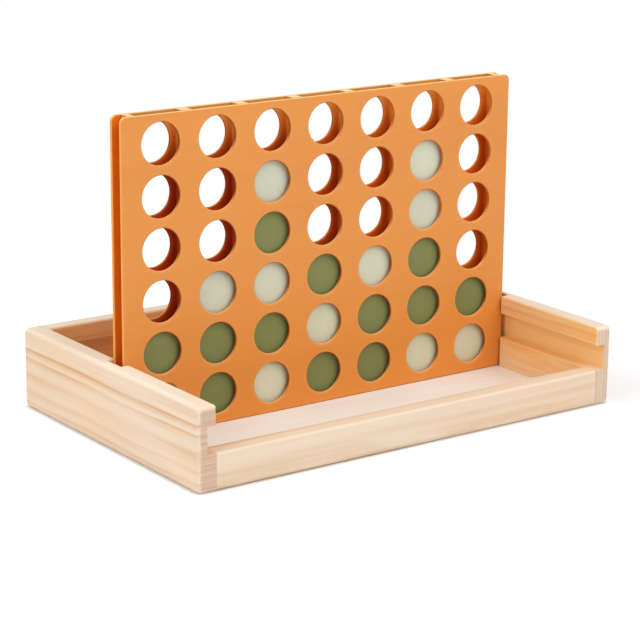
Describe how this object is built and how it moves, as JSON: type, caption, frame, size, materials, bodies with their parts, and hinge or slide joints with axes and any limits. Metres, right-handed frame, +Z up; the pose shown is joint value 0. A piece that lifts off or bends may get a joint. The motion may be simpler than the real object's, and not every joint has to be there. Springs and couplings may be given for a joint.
{
  "type": "four in a row frame",
  "caption": "Wooden tray with an upright perforated board whose columns hold round playing discs; the discs slide up and out, and the board lifts out and doubles as the sliding lid.",
  "frame": {"origin": "middle of the tray's underside, on the surface that it stands on", "axes": "+X along the board to the player's right, +Y away from the player, +Z up"},
  "size_m": [0.295, 0.1916, 0.1886],
  "materials": {
    "pine": "bare sanded pine",
    "floor_ply": "bare pale ply",
    "orange_paint": "matt paint on thin ply",
    "dark_green": "matt stain on wood",
    "light_green": "matt stain on wood"
  },
  "bodies": {
    "tray": {"left_wall": "pine", "right_wall": "pine", "back_wall": "pine", "front_wall": "pine", "floor_panel": "floor_ply"},
    "board": {"front_panel": "orange_paint", "back_panel": "orange_paint", "bottom_rail": "orange_paint", "divider_1": "orange_paint", "divider_2": "orange_paint", "divider_3": "orange_paint", "divider_4": "orange_paint", "divider_5": "orange_paint", "divider_6": "orange_paint", "divider_7": "orange_paint", "divider_8": "orange_paint"},
    "light_disc_c1_r1": {"light_disc_c1_r1": "light_green"},
    "dark_disc_c1_r2": {"dark_disc_c1_r2": "dark_green"},
    "dark_disc_c2_r1": {"dark_disc_c2_r1": "dark_green"},
    "dark_disc_c2_r2": {"dark_disc_c2_r2": "dark_green"},
    "light_disc_c2_r3": {"light_disc_c2_r3": "light_green"},
    "light_disc_c3_r1": {"light_disc_c3_r1": "light_green"},
    "dark_disc_c3_r2": {"dark_disc_c3_r2": "dark_green"},
    "light_disc_c3_r3": {"light_disc_c3_r3": "light_green"},
    "dark_disc_c3_r4": {"dark_disc_c3_r4": "dark_green"},
    "light_disc_c3_r5": {"light_disc_c3_r5": "light_green"},
    "dark_disc_c4_r1": {"dark_disc_c4_r1": "dark_green"},
    "light_disc_c4_r2": {"light_disc_c4_r2": "light_green"},
    "dark_disc_c4_r3": {"dark_disc_c4_r3": "dark_green"},
    "dark_disc_c5_r1": {"dark_disc_c5_r1": "dark_green"},
    "dark_disc_c5_r2": {"dark_disc_c5_r2": "dark_green"},
    "light_disc_c5_r3": {"light_disc_c5_r3": "light_green"},
    "light_disc_c6_r1": {"light_disc_c6_r1": "light_green"},
    "dark_disc_c6_r2": {"dark_disc_c6_r2": "dark_green"},
    "dark_disc_c6_r3": {"dark_disc_c6_r3": "dark_green"},
    "light_disc_c6_r4": {"light_disc_c6_r4": "light_green"},
    "light_disc_c6_r5": {"light_disc_c6_r5": "light_green"},
    "light_disc_c7_r1": {"light_disc_c7_r1": "light_green"},
    "dark_disc_c7_r2": {"dark_disc_c7_r2": "dark_green"}
  },
  "joints": [
    {"name": "board_lift", "type": "slide", "parent": "tray", "child": "board", "axis": [0, 0, 1], "range_m": [0, 0.06]},
    {"name": "disc_c1_r1_lift", "type": "slide", "parent": "board", "child": "light_disc_c1_r1", "axis": [0, 0, 1], "range_m": [0, 0.187]},
    {"name": "disc_c1_r2_lift", "type": "slide", "parent": "light_disc_c1_r1", "child": "dark_disc_c1_r2", "axis": [0, 0, 1], "range_m": [0, 0.157]},
    {"name": "disc_c2_r1_lift", "type": "slide", "parent": "board", "child": "dark_disc_c2_r1", "axis": [0, 0, 1], "range_m": [0, 0.187]},
    {"name": "disc_c2_r2_lift", "type": "slide", "parent": "dark_disc_c2_r1", "child": "dark_disc_c2_r2", "axis": [0, 0, 1], "range_m": [0, 0.157]},
    {"name": "disc_c2_r3_lift", "type": "slide", "parent": "dark_disc_c2_r2", "child": "light_disc_c2_r3", "axis": [0, 0, 1], "range_m": [0, 0.127]},
    {"name": "disc_c3_r1_lift", "type": "slide", "parent": "board", "child": "light_disc_c3_r1", "axis": [0, 0, 1], "range_m": [0, 0.187]},
    {"name": "disc_c3_r2_lift", "type": "slide", "parent": "light_disc_c3_r1", "child": "dark_disc_c3_r2", "axis": [0, 0, 1], "range_m": [0, 0.157]},
    {"name": "disc_c3_r3_lift", "type": "slide", "parent": "dark_disc_c3_r2", "child": "light_disc_c3_r3", "axis": [0, 0, 1], "range_m": [0, 0.127]},
    {"name": "disc_c3_r4_lift", "type": "slide", "parent": "light_disc_c3_r3", "child": "dark_disc_c3_r4", "axis": [0, 0, 1], "range_m": [0, 0.097]},
    {"name": "disc_c3_r5_lift", "type": "slide", "parent": "dark_disc_c3_r4", "child": "light_disc_c3_r5", "axis": [0, 0, 1], "range_m": [0, 0.067]},
    {"name": "disc_c4_r1_lift", "type": "slide", "parent": "board", "child": "dark_disc_c4_r1", "axis": [0, 0, 1], "range_m": [0, 0.187]},
    {"name": "disc_c4_r2_lift", "type": "slide", "parent": "dark_disc_c4_r1", "child": "light_disc_c4_r2", "axis": [0, 0, 1], "range_m": [0, 0.157]},
    {"name": "disc_c4_r3_lift", "type": "slide", "parent": "light_disc_c4_r2", "child": "dark_disc_c4_r3", "axis": [0, 0, 1], "range_m": [0, 0.127]},
    {"name": "disc_c5_r1_lift", "type": "slide", "parent": "board", "child": "dark_disc_c5_r1", "axis": [0, 0, 1], "range_m": [0, 0.187]},
    {"name": "disc_c5_r2_lift", "type": "slide", "parent": "dark_disc_c5_r1", "child": "dark_disc_c5_r2", "axis": [0, 0, 1], "range_m": [0, 0.157]},
    {"name": "disc_c5_r3_lift", "type": "slide", "parent": "dark_disc_c5_r2", "child": "light_disc_c5_r3", "axis": [0, 0, 1], "range_m": [0, 0.127]},
    {"name": "disc_c6_r1_lift", "type": "slide", "parent": "board", "child": "light_disc_c6_r1", "axis": [0, 0, 1], "range_m": [0, 0.187]},
    {"name": "disc_c6_r2_lift", "type": "slide", "parent": "light_disc_c6_r1", "child": "dark_disc_c6_r2", "axis": [0, 0, 1], "range_m": [0, 0.157]},
    {"name": "disc_c6_r3_lift", "type": "slide", "parent": "dark_disc_c6_r2", "child": "dark_disc_c6_r3", "axis": [0, 0, 1], "range_m": [0, 0.127]},
    {"name": "disc_c6_r4_lift", "type": "slide", "parent": "dark_disc_c6_r3", "child": "light_disc_c6_r4", "axis": [0, 0, 1], "range_m": [0, 0.097]},
    {"name": "disc_c6_r5_lift", "type": "slide", "parent": "light_disc_c6_r4", "child": "light_disc_c6_r5", "axis": [0, 0, 1], "range_m": [0, 0.067]},
    {"name": "disc_c7_r1_lift", "type": "slide", "parent": "board", "child": "light_disc_c7_r1", "axis": [0, 0, 1], "range_m": [0, 0.187]},
    {"name": "disc_c7_r2_lift", "type": "slide", "parent": "light_disc_c7_r1", "child": "dark_disc_c7_r2", "axis": [0, 0, 1], "range_m": [0, 0.157]}
  ]
}
